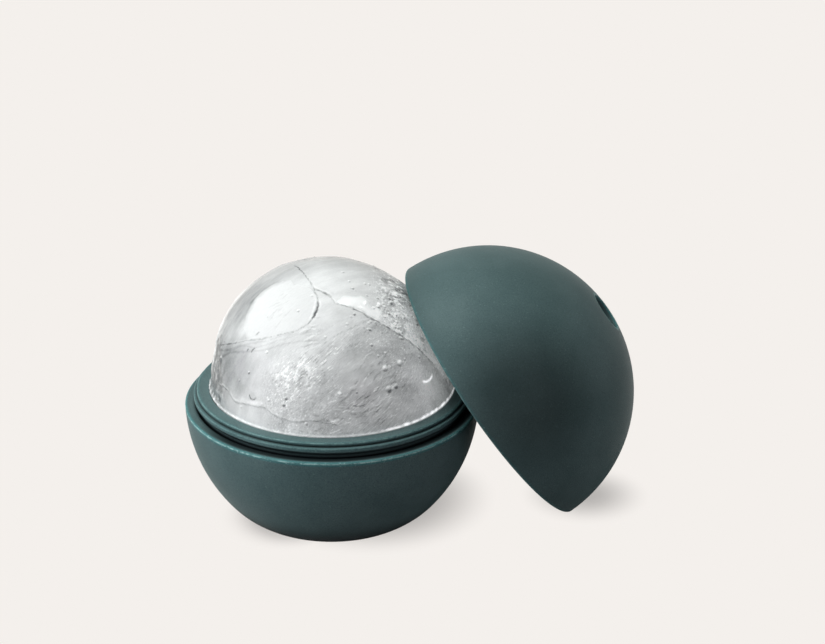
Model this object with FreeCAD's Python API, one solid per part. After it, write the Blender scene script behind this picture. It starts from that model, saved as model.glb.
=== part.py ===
import FreeCAD, Part
import math
import os
from FreeCAD import Matrix, Placement, Rotation, Vector

# A mould for one large ice ball, in two thick soft halves. The lower half stands on a
# flat foot and carries a raised snap collar round its cavity. The frozen ball sits in
# it. The upper half, with the fill hole at its crown, is taken off: it stands on its
# rim beside the lower half and leans on the ball.
# Lengths are in millimetres and angles in degrees. The origin is the centre of the
# foot, and +Z is up. A profile is drawn in the XZ plane and turned about Z.

# Ball and cavity
cavity_radius = 31.75
ball_gap = 0.15  # between the ball and the cavity, all round
swell_rise = 0.05  # share by which the ball's open half froze taller than the cavity
swell_lean = 0.05  # share of its height by which that half leans away from the upper half

# Walls of the lower half
floor_wall = 3.55  # under the cavity
foot_radius = 20.4
foot_round = 1.5
side_draft = 1.4  # the side leans in by this much at the ledge
shoulder_angle = 40.0  # below level, where the side turns into the tighter shoulder
foot_angle = 67.1  # below level, where the shoulder meets the foot

# Snap collar, from the cavity outwards
collar_wall = 3.25
collar_height = 3.9  # above the ledge
collar_round = 0.5
neck_height = 0.8  # plain band at the collar's top
neck_depth = 0.4  # groove under that band
neck_width = 0.4
bead_stand = 0.8  # how far the bead stands out of the collar
bead_height = 0.95
bead_round = 0.25
undercut_depth = 0.2  # collar's waist under the bead
undercut_slope = 1.2  # height of the bead's sloping underside
channel_width = 0.65  # relief round the collar's root
channel_depth = 2.0  # below the ledge
ledge_width = 2.65
ledge_round = 0.5
mouth_round = 0.2  # edge between the cavity and the collar's top

# Upper half
crown_wall = 1.85  # over the cavity, at the fill hole
fill_radius = 5.0
fill_round = 0.6
rim_round = 0.5
snap_gap = 0.2  # between the collar and its socket, sideways
seat_gap = 0.1  # between the collar's top and the socket's ceiling
lip_catch = 0.4  # how far the lip reaches under the bead
lip_lead = 1.0  # chamfer that guides the lip over the bead

# The upper half's place beside the lower half
lean_rise = 35.8  # of its axis above level
lean_turn = 2.7  # of its axis away from +X, seen from above
lean_side = 6.2  # its rim centre's distance behind the lower half's axis, along Y
lean_gap = 0.15  # between its lip and the ball

# Radii and heights that follow
ball_radius = cavity_radius - ball_gap
collar_radius = cavity_radius + collar_wall
bead_radius = collar_radius + bead_stand
waist_radius = collar_radius - undercut_depth
channel_radius = waist_radius + channel_width
body_radius = channel_radius + ledge_width
mouth_height = floor_wall + cavity_radius
ledge_height = mouth_height - collar_height
crown_height = collar_height + cavity_radius + crown_wall
dome_radius = (body_radius ** 2 + crown_height ** 2) / (2 * crown_height)
dome_centre = crown_height - dome_radius

up = Vector(0, 0, 1)
near = 0.001  # lengths closer than this count as equal


def at(radius, height):
    return Vector(radius, 0, height)


def on_circle(centre, radius, angle):
    # a point on a profile's circle, with the angle counted from level
    turn = math.radians(angle)
    return centre + Vector(radius * math.cos(turn), 0, radius * math.sin(turn))


def arc(centre, radius, first, last):
    middle = (first + last) / 2
    ends = [on_circle(centre, radius, angle) for angle in (first, middle, last)]
    return Part.Arc(*ends).toShape()


def path(corners):
    # Straight runs through (radius, height, rounding) corners, with an arc at each
    # corner whose rounding isn't zero.
    edges = []
    start = at(*corners[0][:2])
    for index in range(1, len(corners) - 1):
        corner = at(*corners[index][:2])
        rounding = corners[index][2]
        after = (at(*corners[index + 1][:2]) - corner).normalize()
        before = (at(*corners[index - 1][:2]) - corner).normalize()
        if rounding:
            half = before.getAngle(after) / 2
            reach = rounding / math.tan(half)
            middle = corner + (before + after).normalize() * (rounding / math.sin(half) - rounding)
            enter = corner + before * reach
            leave = corner + after * reach
            edges.append(Part.makeLine(start, enter))
            edges.append(Part.Arc(enter, middle, leave).toShape())
            start = leave
        else:
            edges.append(Part.makeLine(start, corner))
            start = corner
    edges.append(Part.makeLine(start, at(*corners[-1][:2])))
    return edges


def turned(edges):
    wire = Part.Wire(Part.sortEdges(edges)[0])
    return Part.Face(wire).revolve(Vector(0, 0, 0), up, 360)


def ring_edges(shape, radius, height):
    # the round edges about Z that have this radius and lie at this height
    found = []
    for edge in shape.Edges:
        if edge.Degenerated or not isinstance(edge.Curve, Part.Circle):
            continue
        if abs(edge.Curve.Radius - radius) < near and abs(edge.Curve.Center.z - height) < near:
            found.append(edge)
    return found


def side_edges():
    # The side is one large curve that starts at the ledge with a little draft, and a
    # tighter shoulder that leaves it smoothly and ends at the foot's edge. From the
    # angles at their ends, the two radii are the pair that spans the width and the
    # height between the ledge and the foot.
    draft, drop, foot = [math.radians(angle) for angle in (side_draft, shoulder_angle, foot_angle)]
    side_in = math.cos(draft) - math.cos(drop)
    side_down = math.sin(drop) - math.sin(draft)
    shoulder_in = math.cos(drop) - math.cos(foot)
    shoulder_down = math.sin(foot) - math.sin(drop)
    width = body_radius - foot_radius
    scale = side_in * shoulder_down - side_down * shoulder_in
    side_radius = (width * shoulder_down - ledge_height * shoulder_in) / scale
    shoulder_radius = (side_in * ledge_height - side_down * width) / scale
    side_centre = on_circle(at(body_radius, ledge_height), side_radius, 180 - side_draft)
    shoulder_centre = on_circle(side_centre, side_radius - shoulder_radius, -shoulder_angle)
    side = arc(side_centre, side_radius, -side_draft, -shoulder_angle)
    shoulder = arc(shoulder_centre, shoulder_radius, -shoulder_angle, -foot_angle)
    return [side, shoulder]


def collar_corners():
    # the collar's outline from the cavity's edge, over the bead and down into the
    # channel, and out along the ledge
    top = mouth_height
    band = top - neck_height
    bead_top = band - neck_width
    bead_foot = bead_top - bead_height
    return [
        (cavity_radius, top, 0),
        (collar_radius, top, collar_round),
        (collar_radius, band, 0),
        (collar_radius - neck_depth, band - neck_width / 2, 0),
        (bead_radius, bead_top, bead_round),
        (bead_radius, bead_foot, bead_round),
        (waist_radius, bead_foot - undercut_slope, 0),
        (waist_radius, ledge_height - channel_depth, 0),
        (channel_radius, ledge_height - channel_depth, 0),
        (channel_radius, ledge_height, mouth_round),
        (body_radius, ledge_height, 0),
    ]


def make_lower_half():
    edges = side_edges() + path(collar_corners())
    edges.append(arc(at(0, mouth_height), cavity_radius, 0, -90))
    edges.append(Part.makeLine(at(0, floor_wall), at(0, 0)))
    edges.append(Part.makeLine(at(0, 0), at(foot_radius, 0)))
    body = turned(edges)
    body = body.makeFillet(foot_round, ring_edges(body, foot_radius, 0))
    body = body.makeFillet(ledge_round, ring_edges(body, body_radius, ledge_height))
    return body.makeFillet(mouth_round, ring_edges(body, cavity_radius, mouth_height))


def make_ball():
    # Four quarters, each of the cavity's sphere below the mouth and of the same sphere,
    # swollen as the ice froze, above it.
    centre = at(0, mouth_height)
    swell = Matrix()
    swell.A13 = -swell_lean
    swell.A14 = swell_lean * mouth_height
    swell.A33 = 1 + swell_rise
    swell.A34 = -swell_rise * mouth_height
    faces = []
    for turn in range(0, 360, 90):
        below = arc(centre, ball_radius, -90, 0).revolve(centre, up, 90)
        above = arc(centre, ball_radius, 0, 90).revolve(centre, up, 90)
        faces.append(below.rotated(centre, up, turn))
        faces.append(above.rotated(centre, up, turn).transformGeometry(swell))
    shell = Part.makeShell(faces)
    shell.sewShape()
    return Part.Solid(shell)


def socket_corners():
    # The collar's outline again, opened by the snap gap, in the upper half's own
    # frame: the rim lies at height 0 and meets the ledge when the mould is shut.
    band = collar_height - neck_height
    bead_foot = band - neck_width - bead_height
    slope = undercut_slope / (bead_radius - waist_radius)
    clear = snap_gap * math.hypot(1, slope)
    ceiling = collar_height + seat_gap
    ceiling_radius = math.sqrt(cavity_radius ** 2 - seat_gap ** 2)
    socket_radius = bead_radius + snap_gap
    lip_radius = bead_radius - lip_catch
    return [
        (ceiling_radius, ceiling, 0),
        (collar_radius + snap_gap, ceiling, collar_round),
        (collar_radius + snap_gap, band, 0),
        (socket_radius, band, bead_round),
        (socket_radius, bead_foot + snap_gap * slope - clear, bead_round),
        (lip_radius, bead_foot - lip_catch * slope - clear, 0),
        (lip_radius + lip_lead, 0, mouth_round),
        (body_radius, 0, 0),
    ]


def make_upper_half():
    dome = at(0, dome_centre)
    cavity = at(0, collar_height)
    outer_top = dome_centre + math.sqrt(dome_radius ** 2 - fill_radius ** 2)
    inner_top = collar_height + math.sqrt(cavity_radius ** 2 - fill_radius ** 2)
    dome_start = math.degrees(math.atan2(-dome_centre, body_radius))
    dome_end = math.degrees(math.acos(fill_radius / dome_radius))
    cavity_start = math.degrees(math.asin(seat_gap / cavity_radius))
    cavity_end = math.degrees(math.acos(fill_radius / cavity_radius))
    edges = path(socket_corners())
    edges.append(arc(dome, dome_radius, dome_start, dome_end))
    edges.append(Part.makeLine(at(fill_radius, outer_top), at(fill_radius, inner_top)))
    edges.append(arc(cavity, cavity_radius, cavity_end, cavity_start))
    cap = turned(edges)
    cap = cap.makeFillet(rim_round, ring_edges(cap, body_radius, 0))
    return cap.makeFillet(fill_round, ring_edges(cap, fill_radius, outer_top))


def lean(cap, ball):
    # The rounded rim touches the ground at its lowest point. From well clear, the cap
    # then slides towards the ball by the gap that is left, until it leans on it.
    rise = math.radians(lean_rise)
    turn = math.radians(lean_turn)
    axis = Vector(math.cos(rise) * math.cos(turn), math.cos(rise) * math.sin(turn), math.sin(rise))
    rim_tube = math.sqrt((dome_radius - rim_round) ** 2 - (rim_round - dome_centre) ** 2)
    rim_height = rim_round + rim_tube * math.cos(rise) - rim_round * math.sin(rise)
    reach = 2 * body_radius
    gap = body_radius
    while gap - lean_gap > near:
        cap.Placement = Placement(Vector(reach, lean_side, rim_height), Rotation(up, axis))
        gap = cap.distToShape(ball)[0]
        reach -= gap - lean_gap
    return cap


lower_half = make_lower_half()
ice_ball = make_ball()
upper_half = lean(make_upper_half(), ice_ball)

os.makedirs("parts", exist_ok=True)
lower_half.exportStep("parts/lower_half.step")
ice_ball.exportStep("parts/ice_ball.step")
upper_half.exportStep("parts/upper_half.step")
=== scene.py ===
import bpy
import bmesh
import math
import random
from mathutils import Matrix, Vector, kdtree, noise


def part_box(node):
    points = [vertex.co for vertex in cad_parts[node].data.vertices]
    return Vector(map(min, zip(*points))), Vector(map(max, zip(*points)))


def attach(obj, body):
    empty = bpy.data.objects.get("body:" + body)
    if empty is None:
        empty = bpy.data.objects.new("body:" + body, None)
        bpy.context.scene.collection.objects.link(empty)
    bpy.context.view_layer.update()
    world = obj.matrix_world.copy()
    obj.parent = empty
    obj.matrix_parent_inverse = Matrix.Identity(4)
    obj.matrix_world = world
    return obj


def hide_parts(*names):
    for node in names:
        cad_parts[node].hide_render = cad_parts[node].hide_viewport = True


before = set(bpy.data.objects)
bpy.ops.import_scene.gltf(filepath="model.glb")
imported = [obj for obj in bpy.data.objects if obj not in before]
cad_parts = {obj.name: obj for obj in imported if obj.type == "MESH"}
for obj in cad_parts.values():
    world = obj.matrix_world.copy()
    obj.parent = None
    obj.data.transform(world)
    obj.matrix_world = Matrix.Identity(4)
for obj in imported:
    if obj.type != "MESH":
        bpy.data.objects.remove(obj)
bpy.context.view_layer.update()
print("frame: loaded", sorted(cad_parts))

mm = 0.001
up = Vector((0, 0, 1))
black = (0, 0, 0)


# Shader maths: a Wire is one socket, and sums on it add Math nodes
class Wire:
    def __init__(self, paint, socket):
        self.paint = paint
        self.socket = socket

    def maths(self, operation, first, second=0.0, clamp=False):
        settings = {"operation": operation, "use_clamp": clamp}
        return self.paint.node("Math", settings, {0: first, 1: second})

    def __add__(self, other):
        return self.maths("ADD", self, other)

    def __radd__(self, other):
        return self.maths("ADD", other, self)

    def __sub__(self, other):
        return self.maths("SUBTRACT", self, other)

    def __rsub__(self, other):
        return self.maths("SUBTRACT", other, self)

    def __mul__(self, other):
        return self.maths("MULTIPLY", self, other)

    def __rmul__(self, other):
        return self.maths("MULTIPLY", other, self)

    def __truediv__(self, other):
        return self.maths("DIVIDE", self, other)

    def __rtruediv__(self, other):
        return self.maths("DIVIDE", other, self)

    def __pow__(self, other):
        return self.maths("POWER", self, other)

    def __rpow__(self, other):
        return self.maths("POWER", other, self)

    def clamped(self):
        return self.maths("ADD", self, 0.0, clamp=True)

    def larger(self, other):
        return self.maths("MAXIMUM", self, other)

    def between(self, low, high):
        # 0 at low and 1 at high, smooth on the way and held beyond them
        inputs = {"Value": self, "From Min": low, "From Max": high}
        return self.paint.node("MapRange", {"interpolation_type": "SMOOTHSTEP"}, inputs)

    def beside(self, name):
        # another output of the same node
        return Wire(self.paint, self.socket.node.outputs[name])


class Paint:
    # the nodes of a material or of the world, made one by one
    def __init__(self, owner):
        self.owner = owner
        self.owner.use_nodes = True
        self.tree = owner.node_tree
        self.tree.nodes.clear()

    def node(self, kind, settings=None, inputs=None, output=0):
        made = self.tree.nodes.new("ShaderNode" + kind)
        for key, value in (settings or {}).items():
            setattr(made, key, value)
        for key, value in (inputs or {}).items():
            if isinstance(value, Wire):
                self.tree.links.new(value.socket, made.inputs[key])
            else:
                made.inputs[key].default_value = value
        return Wire(self, made.outputs[output]) if len(made.outputs) else made

    def mix(self, factor, first, second):
        first, second = [x if isinstance(x, Wire) else (*x, 1) for x in (first, second)]
        return self.node("Mix", {"data_type": "RGBA"}, {0: factor, 6: first, 7: second}, output=2)

    def place(self):
        return self.node("TexCoord", output="Object")

    def inFrame(self, centre, axis):
        # the place in a moulding's own frame, with the centre at 0 and the axis up
        moved = self.node("VectorMath", {"operation": "SUBTRACT"}, {0: self.place(), 1: centre})
        turn = axis.rotation_difference(up).to_euler()
        return self.node("Mapping", None, {"Vector": moved, "Rotation": turn})

    def drawnOut(self, along, longer):
        # the place, made to draw a texture out along a direction
        turn = Vector((1, 0, 0)).rotation_difference(along).to_euler()
        inputs = {"Vector": self.place(), "Rotation": turn, "Scale": (longer, 1, 1)}
        return self.node("Mapping", {"vector_type": "TEXTURE"}, inputs)

    def nearTo(self, middle, near, far):
        # 1 up to the near distance from a point, and 0 from the far one on
        inputs = {0: self.place(), 1: middle}
        away = self.node("VectorMath", {"operation": "DISTANCE"}, inputs, output="Value")
        return 1 - away.between(near, far)

    def grain(self, where, size, detail, roughness=0.5, twist=0.0):
        # noise from 0 to 1, in lumps of about this size
        inputs = {"Vector": where, "Scale": 1 / size, "Detail": detail}
        inputs |= {"Roughness": roughness, "Distortion": twist}
        return self.node("TexNoise", None, inputs)

    def bump(self, height, depth, strength=0.5):
        return self.node("Bump", None, {"Strength": strength, "Distance": depth, "Height": height})

    def finish(self, shader):
        output = "OutputWorld" if isinstance(self.owner, bpy.types.World) else "OutputMaterial"
        self.node(output, None, {"Surface": shader})
        return self.owner


# Silicone of both halves
silicone = {
    "colour": (0.100, 0.160, 0.163),
    "deepColour": (0.078, 0.132, 0.135),
    "edgeColour": (0.040, 0.240, 0.250),
    "paleColour": (0.36, 0.56, 0.54),  # of the painted highlight line along an edge, partly wear, and of dust
    # near black: painted shade, for the hollows and the shelters
    "paintedShadeColour": (0.004, 0.006, 0.007),
    "brightness": 0.95,  # of the plain skin, before its grain
    "roughness": 0.5,
    "refraction": 1.41,
    "shine": 0.08,
    "cloud": (14 * mm, 4, 0.5),  # size, detail and roughness, as of the next noises
    "grain": (0.32 * mm, 3, 0.6),
    "dust": (0.55 * mm, 2, 0.6),
    "rub": (1.6 * mm, 4, 0.7),
    "cloudRange": (0.3, 0.7),  # of the noise, from the deep colour to the plain one
    "grainDepth": 0.09 * mm,
    "cloudDepth": 2.0,  # as a share of the grain's
    "ringCore": 0.3,  # share of a ring's width where it shows in full
    "edgeTint": 0.2,  # of the edge's painted highlight colour with some wear, and more where it is rubbed
    "edgeRubAndHighlight": 0.5,
    "rubRange": (0.35, 0.62),
    "lineShare": 0.3,  # the painted highlight line's width as a share of the edge's band
    "linePale": 0.75,
    "dustRange": (0.63, 0.71),
    "dustPale": 0.7,
    "dustAround": 0.14,  # how much of it lies anywhere, and how much more on an edge
    "dustOnEdge": 0.8,
    "roughnessGrain": 0.2,
    "roughnessCloud": 0.1,
    "roughnessEdge": -0.06,
    "shelterFade": (-0.10, 0.50),
}
# Each half has rings in its own frame, as radius, height, width and share. Its edges get a
# painted highlight with some wear, and its hollows get painted shade. Its shelters get
# painted shade only towards their side. A painted shade patch is a point on the half,
# where it starts and ends to fade, and its share.
lowerHalf = {
    "node": "lower_half",
    "centre": (0, 0, 0),
    "axis": up,
    "shade": 1.0,
    "grainShade": 1.3,
    # painted highlight along these edges, partly wear
    "edges": [
        (38.0 * mm, 31.0 * mm, 0.9 * mm, 1.0),  # ledge
        (34.8 * mm, 35.1 * mm, 0.8 * mm, 0.35),  # collar's top
        (35.7 * mm, 33.9 * mm, 0.8 * mm, 0.25),  # bead
    ],
    "hollows": [
        (34.9 * mm, 30.7 * mm, 1.7 * mm, 1.0),  # painted shade in the channel
        (34.6 * mm, 34.3 * mm, 1.0 * mm, 0.7),  # painted shade in the groove over the bead
        (20.0 * mm, 0.0 * mm, 16.0 * mm, 0.9),  # painted shade round the foot
    ],
    "shelters": [
        (35.3 * mm, 32.3 * mm, 1.1 * mm, 0.85),  # painted shade on the slope under the bead
        (36.2 * mm, 31.2 * mm, 1.7 * mm, 0.88),  # painted shade on the ledge beside the channel
    ],
    # the side where the shelters' painted shade shows, away from the light
    "shelterSide": (0.35, -0.94),
    "paintedShadePatches": [],
}
upperHalf = {
    "node": "upper_half",
    "centre": (41.03 * mm, 6.20 * mm, 30.69 * mm),  # of its rim, where it leans
    "axis": Vector((0.81016, 0.03821, 0.58496)),
    "shade": 0.80,  # painted shade: the same silicone as the lower half, made darker all over
    "grainShade": 0.8,
    # painted highlight along these edges, partly wear
    "edges": [
        (37.9 * mm, 0.2 * mm, 0.9 * mm, 0.55),  # rim
        (5.4 * mm, 37.0 * mm, 0.9 * mm, 1.0),  # fill hole
    ],
    "hollows": [],
    "shelters": [],
    "shelterSide": (0, 0),
    # painted shade on the half's front flank
    "paintedShadePatches": [((48.0 * mm, -27.0 * mm, 44.5 * mm), 5 * mm, 26 * mm, 0.58)],
}


def siliconeMaterial(name, half):
    paint = Paint(bpy.data.materials.new(name))
    own = paint.inFrame(half["centre"], half["axis"])
    x = paint.node("SeparateXYZ", None, {0: own}, output="X")
    y = x.beside("Y")
    z = x.beside("Z")
    reach = (x * x + y * y) ** 0.5

    def onRings(rings, narrower=1.0):
        found = 0.0
        for radius, height, width, share in rings:
            over = reach - radius
            rise = z - height
            away = (over * over + rise * rise) ** 0.5
            end = width * narrower
            band = (1 - away.between(silicone["ringCore"] * end, end)) * share
            found = band.larger(found)
        return found

    place = paint.place()
    cloud, grain, dust, rub = [
        paint.grain(place, *silicone[name]) for name in ("cloud", "grain", "dust", "rub")
    ]
    # painted highlight along the edges, partly wear, with a paler painted line on them
    edge = onRings(half["edges"])
    line = onRings(half["edges"], silicone["lineShare"]) * rub.between(*silicone["rubRange"])
    dust = dust.between(*silicone["dustRange"])
    dust *= silicone["dustAround"] + edge * silicone["dustOnEdge"]

    tone = paint.mix(cloud.between(*silicone["cloudRange"]), silicone["deepColour"], silicone["colour"])
    tint = edge * (silicone["edgeTint"] + rub * silicone["edgeRubAndHighlight"])
    tone = paint.mix(tint, tone, silicone["edgeColour"])
    tone = paint.mix(line * silicone["linePale"], tone, silicone["paleColour"])
    tone = paint.mix(dust * silicone["dustPale"], tone, silicone["paleColour"])
    lit = (silicone["brightness"] + (grain - 0.5) * half["grainShade"]).clamped()
    # a shade below 1 darkens the whole half as painted shade
    tone = paint.mix(half["shade"] * lit, black, tone)
    # patches of painted shade
    for middle, near, far, share in half["paintedShadePatches"]:
        tone = paint.mix(paint.nearTo(middle, near, far) * share, tone, black)
    # painted shade in the hollows, and on the shelters' side that faces away from the light
    tone = paint.mix(onRings(half["hollows"]), tone, silicone["paintedShadeColour"])
    towards = (x * half["shelterSide"][0] + y * half["shelterSide"][1]) / reach
    sheltered = towards.between(*silicone["shelterFade"]) * onRings(half["shelters"])
    tone = paint.mix(sheltered, tone, silicone["paintedShadeColour"])

    roughness = silicone["roughness"] + (grain - 0.5) * silicone["roughnessGrain"]
    roughness += (cloud - 0.5) * silicone["roughnessCloud"] + edge * silicone["roughnessEdge"]
    shader = paint.node("BsdfPrincipled", None, {
        "Base Color": tone,
        "Roughness": roughness,
        "Normal": paint.bump(grain + cloud * silicone["cloudDepth"], silicone["grainDepth"]),
        "IOR": silicone["refraction"],
        "Specular IOR Level": silicone["shine"],
    })
    return paint.finish(shader)


for name, half in {"lowerSilicone": lowerHalf, "upperSilicone": upperHalf}.items():
    material = siliconeMaterial(name, half)
    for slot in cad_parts[half["node"]].material_slots:
        slot.material = material
print("silicone: both halves")


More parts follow.
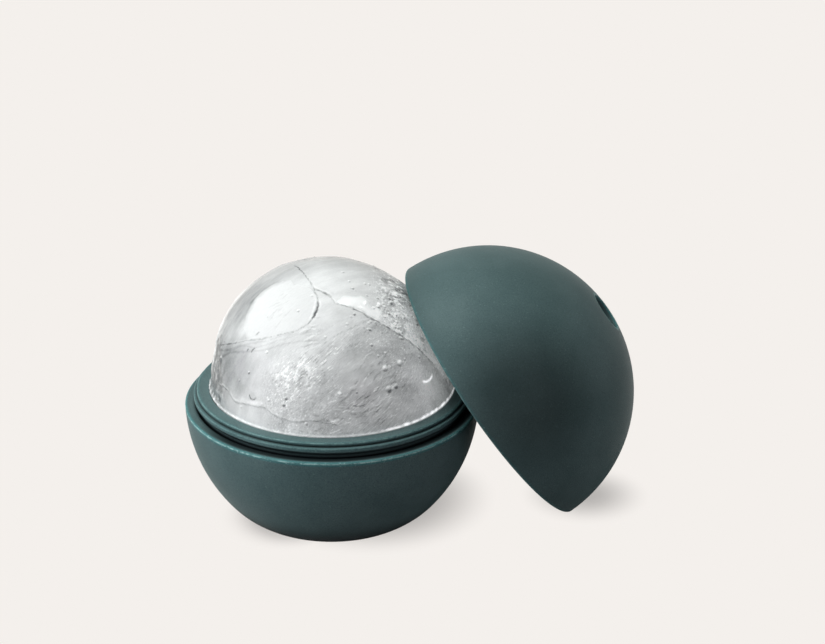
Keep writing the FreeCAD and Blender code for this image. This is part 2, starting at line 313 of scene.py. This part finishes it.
# Ice ball. Places on it are directions from its middle, and lengths without mm are shares
# of its radius. A pair called edge, fade or start is where something begins to show, and
# where it shows in full.
ice = {
    "seed": 7,
    "subdivisions": 6,
    "cuts": 3,  # further cuts in each edge of the open half
    "cutDepth": 1.5 * mm,  # how far below the mouth they start

    # Form
    "risen": 0.05,  # how much taller than the cavity its open half froze
    "leaning": 0.05,  # how far that half leans over, as a share of its height
    "skinStart": (0.1 * mm, 1.5 * mm),  # height above the mouth
    "lumps": 0.16 * mm,
    "lumpSize": 9 * mm,
    "lumpOctaves": (0.9, 2.0, 3),  # roughness, spacing and number
    "dent": 0.5 * mm,
    "crackDepth": 0.15 * mm,
    "step": 0.10 * mm,  # from one side of a crack to the other
    "seamRidge": 0.25 * mm,  # thin flash where the two halves of the mould met
    "seamStart": (0.08 * mm, 0.20 * mm),  # height above the mouth
    "seamFade": (0.52 * mm, 0.34 * mm),
    "seamTaller": {"seamRight": 1.3, "seamLeft": 0.5},
    "seamLeast": 0.7,  # its plain share, before the noise
    "seamTone": (0.45, 1.3),  # and how much more at the right, as painted light

    # Planes that it broke along: the way each faces, and its depth
    "breaks": {
        "crown": (Vector((0.927, 0.368, 0.071)), -0.126),
        "shell": (Vector((-0.270, -0.457, 0.848)), 0.974),
        "sill": (Vector((-0.230, 0.301, 0.926)), 0.527),
        "veil": (Vector((-0.332, -0.493, 0.804)), 0.936),
        "lining": (Vector((-0.332, -0.493, 0.804)), 0.929),
        "spur": (Vector((0.526, 0.787, 0.321)), 0.0),
        "link": (Vector((0.816, 0.543, 0.200)), 0.0),
        "long": (Vector((0.344, 0.755, 0.559)), 0.169),
        "bay": (Vector((0.269, -0.591, 0.760)), 0.967),
        "slant": (Vector((0.541, -0.809, -0.229)), 0.458),
        "brim": (Vector((0.080, -0.050, 0.995)), 0.150),
    },
    # The crack that shows along a plane: its stretches, as in the regions below, its width,
    # how dark it is, and how pale and raised its far side is
    "cracks": {
        "crown": ([("z", 0.925, 0.935), ("y", 0.12, 0.0)], 0.14 * mm, 0.45, 0.1),
        "lining": ([("x", -0.34, -0.44), ("z", 0.68, 0.78)], 0.35 * mm, 0.10, 0.0),
        "shell": ([("x", -0.26, -0.16), ("z", 0.945, 0.925)], 0.12 * mm, 0.24, 0.6),
        "sill": ([("x", -0.18, -0.26), ("y", 0.1, 0.0)], 0.14 * mm, 0.24, 0.3),
        "spur": ([("x", -0.09, -0.07), ("x", 0.08, 0.06)], 0.22 * mm, 0.42, 0.4),
        "link": ([("y", -0.39, -0.41), ("y", -0.49, -0.47), ("x", 0.0, 0.02)], 0.15 * mm, 0.40, 0.3),
        "long": ([("x", 0.08, 0.12), ("z", 0.34, 0.40)], 0.17 * mm, 0.42, 0.9),
        "slant": ([("long", 0.0, -0.02), ("z", 0.40, 0.60), ("x", -0.10, 0.05)], 0.13 * mm, 0.20, 0.2),
        "brim": ([("x", 0.20, 0.0), ("y", 0.0, -0.2)], 0.15 * mm, 0.13, 1.8),
    },
    "crackEdge": (1.6, 0.4),  # in its own widths, as is the next
    "crackFarSide": 2.6,
    "crackLeast": 0.75,  # its plain darkness, before the noise
    "crackPale": 0.5,
    "stepFade": (0.06, 0.0),
    "heavySpot": (Vector((-0.059, -0.524, 0.850)), 0.17, 0.05),  # on the shell's crack
    "heavyWider": 0.15 * mm,
    "heavyDarker": 0.36,
    "ripples": (0.024, 0.050, 0.085),  # faint lines below the sill
    "rippleDark": 0.09,
    "rippleEdge": (0.012, 0.002),

    # Noises: about how many lumps lie along the radius, and how strong they are
    "noises": {
        "wave": (6, 0.010),  # the first three shift every break
        "chipping": (25, 0.006),
        "fraying": (60, 0.004),
        "brim": (5, 0.05),
        "veil": (20, 0.02),
        "bayEdge": (12, 0.05),
        "bay": (45, 0.3),
        "rough": (22, 0.35),
        "roughLumps": (18, 0.16 * mm),
        "speckle": (38, -0.10),
        "blotch": (14, 1.0),
        "chip": (42, 1.0),
        "flake": (15, 0.04),
        "crackDark": (35, 0.9),
        "crackWide": (14, 0.6),
        "ripple": (4.5, 0.05),
        "seam": (30, 0.5),
    },
    "streakPitch": (4, 14),  # along the slant, and across it
    "flakePitch": (14, 40),
    "drawnOctaves": (0.8, 2.0, 4),

    # Regions: along what, where each starts, and where it is in full. x, y and z are the
    # direction's own, front says how far it looks to the front, and the rest are breaks.
    "front": Vector((0.03, -0.90, 0.43)),
    "regions": {
        # painted shade along the outline as seen from the front, and a painted highlight along its left
        # side
        "shadedOutline": [("front", 0.66, 0.10), ("front", -0.60, -0.10)],
        "litLeftOutline": [("front", 0.28, 0.14), ("front", -0.30, 0.0), ("x", -0.55, -0.75), ("z", 0.15, 0.30)],
        "rough": [("x", -0.80, -0.93), ("z", 0.85, 0.60)],
        "dented": [("x", -0.80, -0.95), ("z", 0.45, 0.30)],
        "shellLeft": [("x", -0.24, -0.36)],
        "bayStart": [("x", 0.05, 0.12)],
        "beyond": [("long", -0.01, 0.01), ("x", 0.0, 0.05)],
        "below": [("sill", 0.01, -0.02)],
        "past": [("slant", -0.03, 0.06)],
        "strip": [("veil", -0.25, -0.03), ("sill", 0.0, 0.02), ("x", -0.30, -0.44)],
        "speckled": [("long", -0.20, -0.02), ("long", 0.02, 0.0), ("x", 0.25, 0.45)],
        "mottled": [("x", 0.30, 0.55)],
        "rippled": [("x", 0.05, -0.25), ("y", 0.1, 0.0)],
        "frostBelt": [("z", 0.72, 0.42), ("z", 0.05, 0.30)],
        "frostBeyond": [("x", 0.30, 0.50)],
        "frostStart": [("x", -0.62, -0.42)],
        "seamRight": [("x", 0.3, 0.7)],
        "seamLeft": [("x", -0.3, -0.8)],
        "seamPaintedLight": [("x", 0.2, 0.7)],
    },

    # Tone, from dark at 0 to pale at 1
    "plain": 0.56,
    # the tint along the outline is painted shade, and the one along its left side a painted highlight
    "tints": {"below": -0.02, "past": -0.07, "shadedOutline": -0.36, "litLeftOutline": 0.45, "strip": -0.15},
    "streakTone": (0.08, 0.06),  # and how much more past the slant
    "lumpTone": 0.04,
    "flakeTone": 0.6,
    "speckledTone": -0.06,
    "chipTone": 0.35,
    "chipEdge": (0.22, 0.42),
    "blotchTone": -0.24,
    "blotchEdge": (0.0, 0.35),
    "facetTone": 0.54,
    "facetEdge": (0.0, 0.015),
    "facetFade": (-0.02, 0.05),
    "bayTone": 0.92,
    "bayEdge": (0.015, 0.035),
    "bayFade": (0.0, 0.06),
    "bayCalm": 0.4,  # how ragged it is along the crack, as a share of its other edge
    "bayLeast": 0.8,
    # Pale and dark clouds: where, how wide, and how much they add. One of them is painted light
    "clouds": [
        (Vector((0.09, -0.23, 0.97)), 0.32, 0.06),
        (Vector((-0.28, -0.05, 0.96)), 0.25, -0.16),
        (Vector((-0.66, -0.10, 0.75)), 0.36, -0.20),
        (Vector((-0.88, -0.40, 0.30)), 0.55, -0.40),
        (Vector((-0.56, -0.74, 0.32)), 0.34, -0.10),
        (Vector((-0.66, -0.60, 0.47)), 0.36, -0.16),
        (Vector((-0.64, -0.44, 0.62)), 0.17, 0.16),
        (Vector((0.38, -0.86, 0.34)), 0.55, -0.14),
        (Vector((0.10, -0.98, 0.12)), 0.30, -0.08),
        (Vector((0.74, -0.05, 0.67)), 0.34, -0.30),
        # painted light: lifts the part that the upper half shades
        (Vector((0.85, -0.50, 0.25)), 0.50, 0.20),
    ],

    # Frost, from 0 to 1
    "frostShare": {"belt": 0.55, "past": 0.30, "below": 0.12, "beyond": 0.5, "rough": 0.5, "flakes": 0.35},
    "beltPlace": -0.03,  # of the belt's middle, from the slant
    "beltEdge": (0.26, 0.0),
    "flakeRun": (Vector((-0.334, -0.850, 0.405)), Vector((-0.110, -0.840, 0.531))),
    "flakeEdge": (0.11, 0.02),
    "flakeLeast": 0.16,  # of the noise, where a flake starts to show
    "clearSpot": (Vector((0.272, -0.833, 0.482)), 0.24, 0.10),
    "clearShare": 0.8,

    # Bubbles at the surface: where, how large, and how much paler than the ice
    "bubbleSpots": [
        (Vector((0.440, -0.757, 0.484)), 0.75 * mm, 0.10),
        (Vector((0.559, -0.668, 0.491)), 0.75 * mm, 0.25),
        (Vector((0.470, -0.820, 0.328)), 0.80 * mm, -0.25),
        (Vector((0.530, -0.776, 0.342)), 0.60 * mm, -0.25),
        (Vector((0.094, -0.933, 0.348)), 0.45 * mm, 0.30),
        (Vector((0.391, -0.359, 0.847)), 0.60 * mm, 0.30),
        (Vector((0.574, -0.041, 0.818)), 0.70 * mm, 0.30),
        (Vector((-0.325, -0.900, 0.290)), 0.40 * mm, -0.60),
        (Vector((-0.352, -0.904, 0.242)), 0.40 * mm, -0.60),
        (Vector((-0.856, -0.357, 0.374)), 0.90 * mm, -0.30),
    ],
    "bubbles": 260,  # small loose ones, of which every second lies in the crowd
    "bubbleCrowd": Vector((0.47, -0.42, 0.76)),
    "crowdSpread": (0.05, 0.45),  # least and most, as of the next two
    "bubbleSizes": (0.22 * mm, 0.45 * mm),
    "bubbleTones": (-0.30, 0.25),
    "bubbleSmall": 3,  # the higher, the more of them are small
    "bubbleRise": 0.3,  # height as a share of the size
    "bubbleShade": 0.5,
    "bubbleShadeSide": Vector((0.3, -0.5, -0.8)),
    "domeEdge": (1.0, 0.2),  # in a bubble's own sizes, as of the next three
    "discEdge": (1.1, 0.6),
    "shadeEdge": (1.4, 0.8),
    "shadeStart": (0.0, 0.4),
    "seamClear": 0.8 * mm,  # kept free of bubbles and scratches

    # Nicks, each a stretch of a ring: its middle, size, first and last angle, width, and
    # how much paler it is
    "nicks": [
        (Vector((-0.588, -0.770, 0.246)), 1.10 * mm, 185, 350, 0.20 * mm, -0.50),
        (Vector((0.766, -0.520, 0.378)), 3.80 * mm, 236, 306, 0.46 * mm, 1.10),
        (Vector((-0.505, -0.590, 0.630)), 2.00 * mm, 132, 166, 0.22 * mm, -0.45),
        (Vector((-0.545, -0.655, 0.523)), 2.00 * mm, 128, 170, 0.22 * mm, -0.50),
        (Vector((-0.600, -0.610, 0.515)), 1.40 * mm, 130, 160, 0.18 * mm, -0.40),
    ],
    "nickEnds": 8,  # degrees over which each end fades
    "nickReach": 1.5,  # in its own sizes
    "nickCore": 0.2,  # share of its width where it shows in full

    # Scratches: around which place, how far out, how many, how they run, and how much
    # paler they are
    "scratches": [
        (Vector((0.38, -0.84, 0.36)), 0.30, 70, Vector((0.80, 0.20, 0.50)), (-0.22, -0.14, 0.12, 0.22)),
        (Vector((-0.18, -0.84, 0.48)), 0.15, 26, Vector((0.55, 0.20, 0.80)), (-0.16, -0.10, 0.15, 0.30)),
        (Vector((-0.12, -0.66, 0.74)), 0.14, 18, Vector((0.95, 0.20, 0.20)), (-0.16, -0.10, 0.16)),
        (Vector((0.15, -0.98, 0.14)), 0.26, 40, Vector((0.98, 0.10, 0.15)), (-0.18, -0.12, 0.16, 0.26)),
        (Vector((-0.36, -0.42, 0.80)), 0.14, 12, Vector((0.70, 0.30, 0.50)), (-0.10, -0.07)),
        (Vector((0.52, -0.15, 0.84)), 0.18, 30, Vector((0.50, 0.60, -0.40)), (-0.20, 0.20, 0.30)),
    ],
    "scratchHalf": (0.5 * mm, 2.4 * mm),  # half its length: least and most
    "scratchWidth": (0.20 * mm, 0.32 * mm),
    "scratchCore": 0.3,
    "scratchStray": 0.3,
    "scratchBend": 0.3,
    "scratchStep": 0.14 * mm,
    "scratchOutward": 0.6,  # the lower, the farther out they lie

    # Material
    "darkColour": (0.095, 0.105, 0.108),
    "paleColour": (0.955, 0.985, 0.98),
    "paintedGlowColour": (2.6, 2.65, 2.7),  # painted light: glow that shows where the tone is above 1
    # painted light: the ice's own colour glows at this strength
    "glow": 0.32,
    "fine": (0.4 * mm, 4, 0.75),  # size, detail and roughness
    "fineLevel": (0.10, 0.22),  # and how much more in frost, as of the raised ones
    "fineRaised": (0.3, 0.2),
    "veins": (0.36 * mm, 5, 0.7, 0.5),  # the same, and twist
    "veinRun": Vector((0.74, 0.40, 0.54)),
    "veinLonger": 6.0,
    "veinLevel": 0.18,
    "veinRaised": (0.4, 0.4),
    "fleckPale": (0.56, 0.63),  # of the veins' noise, from where to where flecks grow
    "fleckDark": (0.44, 0.37),
    "fleckDarkShare": 0.6,
    "fleckLevel": 0.5,
    "raisedDepth": 0.08 * mm,
    "roughness": 0.22,
    "frostRoughness": 0.2,
    "paneRoughness": 0.35,
    "refraction": 1.31,
    "milkiness": 0.2,
    "milkDepth": 4 * mm,
    "clearness": 0.1,
    "film": 0.05,  # of melt water
    "filmRoughness": 0.05,
}


def soft(low, high, value):
    # 0 at low and 1 at high, smooth on the way and held beyond them
    share = min(max((value - low) / (high - low), 0), 1)
    return share * share * (3 - 2 * share)


def jitter(way, name, shift=(0, 0, 0)):
    pitch, strength = ice["noises"][name]
    return strength * noise.noise(way * pitch + Vector(shift))


def drawnNoise(way, pitches):
    # noise drawn out along the slant
    along, across = pitches
    out = ice["breaks"]["slant"][0].normalized()
    run = out.cross(up).normalized()
    rise = out.cross(run)
    place = Vector((out.dot(way) * across, run.dot(way) * along, rise.dot(way) * along))
    return noise.fractal(place, *ice["drawnOctaves"])


def nearSpot(way, spot):
    middle, start, full = spot
    return soft(start, full, (way - middle).length)


def fromRun(way, first, last):
    # distance to the stretch between two places
    run = last - first
    share = min(max((way - first).dot(run) / run.length_squared, 0), 1)
    return (way - first - run * share).length


def standing(way):
    # where a direction stands: along the axes, to the front, and over each break
    where = {"x": way.x, "y": way.y, "z": way.z, "front": ice["front"].dot(way)}
    wave = jitter(way, "wave", shift=(3, 1, 7)) + jitter(way, "chipping") + jitter(way, "fraying")
    for name, (facing, depth) in ice["breaks"].items():
        where[name] = (facing.dot(way) - depth) / math.sqrt(1 - depth * depth) + wave
    where["brim"] += jitter(way, "brim")
    return where


def within(where, stretches):
    share = 1.0
    for axis, start, full in stretches:
        share *= soft(start, full, where[axis])
    return share


def iceRegions(where):
    region = {name: within(where, stretches) for name, stretches in ice["regions"].items()}
    region["below"] *= 1 - region["beyond"]
    region["past"] *= 1 - region["beyond"]
    return region


def icePanes(way, where, region):
    # two panes where the inside shows white: a facet above the sill, and a bay beyond the
    # long crack
    right = where["shell"] + region["shellLeft"]
    facet = soft(*ice["facetEdge"], min(right, where["sill"], -where["crown"]))
    facet *= soft(*ice["facetFade"], where["veil"] + jitter(way, "veil"))
    ragged = jitter(way, "bayEdge")
    bay = soft(*ice["bayEdge"], where["long"] + ragged * ice["bayCalm"])
    bay *= soft(*ice["bayFade"], where["bay"] + ragged) * region["bayStart"]
    return facet, bay


def iceTone(way, region, facet, bay, lump, flakes):
    tone = ice["plain"] + sum(amount * region[name] for name, amount in ice["tints"].items())
    tone += sum(amount * nearSpot(way, (middle, wide, 0.0)) for middle, wide, amount in ice["clouds"])
    plain, more = ice["streakTone"]
    streaks = (plain + more * region["past"]) * drawnNoise(way, ice["streakPitch"])
    streaks += ice["lumpTone"] * lump + region["rough"] * jitter(way, "rough")
    tone += streaks * (1 - facet)
    tone += ice["flakeTone"] * flakes * max(0, drawnNoise(way, ice["flakePitch"]) - ice["flakeLeast"])
    tone += region["speckled"] * (ice["speckledTone"] + jitter(way, "speckle"))
    mottling = ice["blotchTone"] * soft(*ice["blotchEdge"], jitter(way, "blotch", shift=(5, 0, 2)))
    mottling += ice["chipTone"] * soft(*ice["chipEdge"], jitter(way, "chip"))
    tone += mottling * region["beyond"] * region["mottled"]
    tone += (ice["facetTone"] - tone) * facet
    return tone + (ice["bayTone"] - tone) * bay * (ice["bayLeast"] + jitter(way, "bay"))


def iceFrost(way, where, region, flakes):
    share = ice["frostShare"]
    belt = soft(*ice["beltEdge"], abs(where["slant"] - ice["beltPlace"])) * region["frostBelt"]
    frost = share["belt"] * belt + share["past"] * region["past"] + share["below"] * region["below"]
    frost += share["beyond"] * region["beyond"] * region["frostBeyond"]
    frost *= 1 - ice["clearShare"] * nearSpot(way, ice["clearSpot"])
    frost *= region["frostStart"]
    return min(1, frost + share["rough"] * region["rough"] + share["flakes"] * flakes)


def iceCracks(way, where, region, radius):
    # each crack shows on its own plane, between its neighbours: how dark it makes the
    # place, how pale, and how high
    dark = 0.0
    pale = 0.0
    height = 0.0
    heavy = nearSpot(way, ice["heavySpot"])
    for name, (stretches, width, depth, lit) in ice["cracks"].items():
        shown = within(where, stretches)
        if shown > 0:
            if name == "shell":
                width += ice["heavyWider"] * heavy
                depth += ice["heavyDarker"] * heavy
            depth *= ice["crackLeast"] + jitter(way, "crackDark")
            wide = width / radius * (1 + jitter(way, "crackWide", shift=(len(name), 0, 0)))
            edge = [share * wide for share in ice["crackEdge"]]
            side = where[name]
            farSide = side - ice["crackFarSide"] * wide
            dark = max(dark, depth * shown * soft(*edge, abs(side)))
            pale = max(pale, lit * depth * shown * soft(*edge, abs(farSide)))
            stepped = soft(-wide, wide, side) * soft(*ice["stepFade"], side)
            height += lit * ice["step"] * shown * stepped
    for drop in ice["ripples"]:
        away = abs(where["sill"] + drop + jitter(way, "ripple", shift=(drop * 90, 0, 0)))
        dark = max(dark, ice["rippleDark"] * region["rippled"] * soft(*ice["rippleEdge"], away))
    return dark, pale, height - ice["crackDepth"] * dark


def nicked(way, radius):
    tone = 0.0
    ends = ice["nickEnds"]
    for middle, size, first, last, width, amount in ice["nicks"]:
        off = (way - middle.normalized()) * radius
        if off.length < ice["nickReach"] * size:
            right = up.cross(middle).normalized()
            over = off.dot(right)
            rise = off.dot(middle.cross(right))
            angle = math.degrees(math.atan2(rise, over)) % 360
            share = soft(first - ends, first + ends, angle) * soft(last + ends, last - ends, angle)
            share *= soft(width, ice["nickCore"] * width, abs(math.hypot(rise, over) - size))
            tone += amount * share
    return tone


def freezeIce(verts, radius, middle, mouth):
    # moves the ball's vertices to its frozen skin, and says how each looks
    marks = {"tone": [], "frost": [], "pane": []}
    for vert in verts:
        way = vert.co.normalized()
        above = way.z * radius - mouth
        where = standing(way)
        region = iceRegions(where)
        facet, bay = icePanes(way, where, region)
        lump = noise.fractal(way * (radius / ice["lumpSize"]), *ice["lumpOctaves"])
        flakes = soft(*ice["flakeEdge"], fromRun(way, *ice["flakeRun"]) + jitter(way, "flake"))
        dark, pale, height = iceCracks(way, where, region, radius)
        height += ice["lumps"] * lump + region["rough"] * jitter(way, "roughLumps")
        height -= ice["dent"] * region["dented"]

        ragged = ice["seamLeast"] + jitter(way, "seam")
        tall = 1 + ragged * sum(region[name] * more for name, more in ice["seamTaller"].items())
        seam = soft(*ice["seamStart"], above) * soft(*ice["seamFade"], above / tall) * ragged
        # the seam's extra tone at the right is painted light
        plain, right = ice["seamTone"]
        tone = iceTone(way, region, facet, bay, lump, flakes) + nicked(way, radius)
        tone += ice["crackPale"] * pale - dark + (plain + right * region["seamPaintedLight"]) * seam
        marks["tone"].append(tone)
        marks["frost"].append(iceFrost(way, where, region, flakes) * (1 - facet))
        marks["pane"].append(max(facet, bay))

        rise = max(above, 0)
        skin = height * soft(*ice["skinStart"], above) + ice["seamRidge"] * seam
        vert.co = middle + way * (radius + skin)
        vert.co.z += rise * ice["risen"]
        vert.co.x -= rise * ice["leaning"]
    return marks


def looseWay():
    return Vector((random.gauss(0, 1), random.gauss(0, 1), random.gauss(0, 1))).normalized()


def blowBubbles(verts, tree, radius, middle, mouth, tones):
    # bubbles that froze at the surface: each a low dome, with painted shade on its lower side
    spots = list(ice["bubbleSpots"])
    small, large = ice["bubbleSizes"]
    for number in range(ice["bubbles"]):
        way = looseWay()
        if number % 2:
            way = (ice["bubbleCrowd"] + way * random.uniform(*ice["crowdSpread"])).normalized()
        size = small + (large - small) * random.random() ** ice["bubbleSmall"]
        spots.append((way, size, random.uniform(*ice["bubbleTones"])))
    for way, size, amount in spots:
        top = tree.find(middle + way * radius)[0]
        if top.z < mouth + size + ice["seamClear"]:
            continue
        shadeSide = ice["bubbleShadeSide"]
        lower = (shadeSide - way * way.dot(shadeSide)).normalized()
        for place, index, away in tree.find_range(top, size * ice["shadeEdge"][0]):
            out = away / size
            verts[index].co += way * size * ice["bubbleRise"] * soft(*ice["domeEdge"], out)
            # painted shade on the bubble's lower side
            shade = ice["bubbleShade"] * lower.dot(place - top) / size
            shade *= soft(*ice["shadeEdge"], out) * soft(*ice["shadeStart"], out)
            tones[index] += amount * soft(*ice["discEdge"], out) - shade


def scratchIce(tree, radius, middle, mouth, tones):
    # fine scratches and healed cracks: each a short bent stroke that fades at its ends
    for home, spread, count, lay, amounts in ice["scratches"]:
        for number in range(count):
            aside = looseWay() * spread * random.random() ** ice["scratchOutward"]
            way = (home + aside).normalized()
            run = lay + looseWay() * ice["scratchStray"]
            run = (run - way * run.dot(way)).normalized()
            across = way.cross(run)
            half = random.uniform(*ice["scratchHalf"])
            width = random.uniform(*ice["scratchWidth"])
            bend = random.uniform(-ice["scratchBend"], ice["scratchBend"])
            amount = random.choice(amounts)
            steps = math.ceil(half / ice["scratchStep"])
            touched = {}
            for step in range(-steps, steps + 1):
                along = step / steps
                off = run * half * along + across * half * bend * along * along
                top = tree.find(middle + (way * radius + off).normalized() * radius)[0]
                if top.z < mouth + ice["seamClear"]:
                    continue
                for place, index, away in tree.find_range(top, width):
                    share = (1 - along * along) * soft(width, ice["scratchCore"] * width, away)
                    touched[index] = max(touched.get(index, 0), share)
            for index, share in touched.items():
                tones[index] += amount * share


def iceMaterial():
    paint = Paint(bpy.data.materials.new("cloudedIce"))
    tone, frost, pane = [
        paint.node("Attribute", {"attribute_name": name}, output="Fac")
        for name in ("tone", "frost", "pane")
    ]
    fine = paint.grain(paint.place(), *ice["fine"])
    veins = paint.grain(paint.drawnOut(ice["veinRun"], ice["veinLonger"]), *ice["veins"])
    flecks = veins.between(*ice["fleckPale"]) - veins.between(*ice["fleckDark"]) * ice["fleckDarkShare"]
    plainFine, frostFine = ice["fineLevel"]
    level = tone + (fine - 0.5) * (plainFine + frost * frostFine)
    level += (veins - 0.5) * ice["veinLevel"] + flecks * frost * ice["fleckLevel"]
    colour = paint.mix(level.clamped(), ice["darkColour"], ice["paleColour"])
    paintedGlow = paint.mix((tone - 1).clamped(), colour, ice["paintedGlowColour"])
    plainFine, frostFine = ice["fineRaised"]
    plainVein, frostVein = ice["veinRaised"]
    raised = fine * (plainFine + frost * frostFine) + veins * (plainVein + frost * frostVein)
    roughness = ice["roughness"] + frost * ice["frostRoughness"] + pane * ice["paneRoughness"]
    shader = paint.node("BsdfPrincipled", None, {
        "Base Color": colour,
        "Roughness": roughness,
        "Normal": paint.bump(raised, ice["raisedDepth"]),
        "IOR": ice["refraction"],
        "Subsurface Weight": ice["milkiness"],
        "Subsurface Radius": (1.0, 1.0, 1.0),
        "Subsurface Scale": ice["milkDepth"],
        "Transmission Weight": ice["clearness"],
        # painted light: the ice glows, most where the tone is above 1
        "Emission Color": paintedGlow,
        "Emission Strength": ice["glow"],
        "Coat Weight": ice["film"],
        "Coat Roughness": ice["filmRoughness"],
    })
    return paint.finish(shader)


def buildIceBall():
    low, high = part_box("ice_ball")
    radius = (high.y - low.y) / 2
    middle = Vector((0, 0, low.z + radius))
    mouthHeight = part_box("lower_half")[1].z
    mouth = mouthHeight - middle.z
    bm = bmesh.new()
    bmesh.ops.create_icosphere(bm, subdivisions=ice["subdivisions"], radius=radius)
    openEdges = [e for e in bm.edges if max(v.co.z for v in e.verts) > mouth - ice["cutDepth"]]
    bmesh.ops.subdivide_edges(bm, edges=openEdges, cuts=ice["cuts"], use_grid_fill=True)
    bmesh.ops.triangulate(bm, faces=bm.faces)
    verts = list(bm.verts)
    marks = freezeIce(verts, radius, middle, mouth)
    tree = kdtree.KDTree(len(verts))
    for index, vert in enumerate(verts):
        tree.insert(vert.co, index)
    tree.balance()
    random.seed(ice["seed"])
    blowBubbles(verts, tree, radius, middle, mouthHeight, marks["tone"])
    scratchIce(tree, radius, middle, mouthHeight, marks["tone"])
    mesh = bpy.data.meshes.new("iceBall")
    bm.to_mesh(mesh)
    bm.free()
    mesh.polygons.foreach_set("use_smooth", [True] * len(mesh.polygons))
    for name, numbers in marks.items():
        mesh.attributes.new(name, "FLOAT", "POINT").data.foreach_set("value", numbers)
    mesh.materials.append(iceMaterial())
    piece = bpy.data.objects.new("iceBall", mesh)
    bpy.context.scene.collection.objects.link(piece)
    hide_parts("ice_ball")
    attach(piece, "root")
    print("ice ball:", len(mesh.polygons), "triangles")


buildIceBall()


# Floor, light and camera
studio = {
    "paper": (0.905, 0.871, 0.839),
    "paperGlow": 1.0,
    "shadowDepth": 0.52,  # how much of the floor's shadow the camera sees
    "shadowSpots": [  # where it sees it: a point on the floor, and where the spot fades
        ((10.0 * mm, 5.0 * mm, 0), 14 * mm, 34 * mm),
        ((-12.0 * mm, -6.0 * mm, 0), 8 * mm, 19.5 * mm),
        ((66.5 * mm, 6.0 * mm, 0), 2 * mm, 18 * mm),
    ],
    "bounce": (0.05, 0.05, 0.05),  # what the other rays meet in place of the paper
    "ambient": (0.050, 0.054, 0.060),
    "floorSize": 6.0,
}
lamps = {
    "key": {"strength": 2.95, "spread": 42, "side": -96, "rise": 62, "tint": (1.0, 1.0, 0.97)},
    "fill": {"strength": 3.1, "spread": 45, "side": -76, "rise": 6, "tint": (1.0, 0.98, 1.02)},
    "front": {"strength": 0.65, "spread": 30, "side": 31, "rise": 5, "tint": (1.10, 1.0, 1.06)},
    "rim": {"strength": 0.5, "spread": 40, "side": 104, "rise": 10, "tint": (1.0, 1.0, 1.0)},
    "glint": {"strength": 0.2, "spread": 4, "side": -40, "rise": 45, "tint": (1.0, 1.0, 1.0)},
}
view = {
    "place": (20.8 * mm, -609.9 * mm, 320.3 * mm),
    "down": 23.69,
    "lens": 113.45,
    "sensor": 36.0,
    "clipStart": 0.01,
}


def onRays(paint, *kinds):
    # 1 for a ray of these kinds, and 0 for any other
    found = 0.0
    for kind in kinds:
        found = paint.node("LightPath", output="Is " + kind + " Ray").larger(found)
    return found


def buildFloor():
    bm = bmesh.new()
    bmesh.ops.create_grid(bm, x_segments=1, y_segments=1, size=studio["floorSize"] / 2)
    mesh = bpy.data.meshes.new("floor")
    bm.to_mesh(mesh)
    bm.free()
    floor = bpy.data.objects.new("floor", mesh)
    bpy.context.scene.collection.objects.link(floor)
    paint = Paint(bpy.data.materials.new("paper"))
    seen = onRays(paint, "Camera", "Glossy", "Transmission")
    shade = 0.0
    for middle, near, far in studio["shadowSpots"]:
        shade = paint.nearTo(middle, near, far).larger(shade)
    lit = paint.node("BsdfDiffuse", None, {"Color": paint.mix(seen, studio["bounce"], studio["paper"])})
    glow = paint.node("Emission", None, {"Color": (*studio["paper"], 1), "Strength": studio["paperGlow"]})
    share = onRays(paint, "Camera", "Transmission") * (1 - shade * studio["shadowDepth"])
    mesh.materials.append(paint.finish(paint.node("MixShader", None, {0: share, 1: lit, 2: glow})))


def buildLight():
    world = bpy.data.worlds.new("studio")
    bpy.context.scene.world = world
    paint = Paint(world)
    seen = onRays(paint, "Camera", "Glossy", "Transmission")
    tone = paint.mix(seen, studio["ambient"], studio["paper"])
    paint.finish(paint.node("Background", None, {"Color": tone}))
    for name, lamp in lamps.items():
        light = bpy.data.lights.new(name, "SUN")
        light.energy = lamp["strength"]
        light.color = lamp["tint"]
        light.angle = math.radians(lamp["spread"])
        sun = bpy.data.objects.new(name, light)
        side = math.radians(lamp["side"])
        rise = math.radians(lamp["rise"])
        origin = Vector((math.sin(side) * math.cos(rise), -math.cos(side) * math.cos(rise), math.sin(rise)))
        sun.rotation_euler = origin.to_track_quat("Z", "Y").to_euler()
        bpy.context.scene.collection.objects.link(sun)


def buildCamera():
    camera = bpy.data.objects.new("camera", bpy.data.cameras.new("camera"))
    camera.location = view["place"]
    camera.rotation_euler = (math.radians(90 - view["down"]), 0, 0)
    camera.data.lens = view["lens"]
    camera.data.sensor_width = view["sensor"]
    camera.data.clip_start = view["clipStart"]
    bpy.context.scene.collection.objects.link(camera)
    bpy.context.scene.camera = camera


buildFloor()
buildLight()
buildCamera()
bpy.context.scene.view_settings.view_transform = "Standard"
print("studio: floor, lamps and camera")
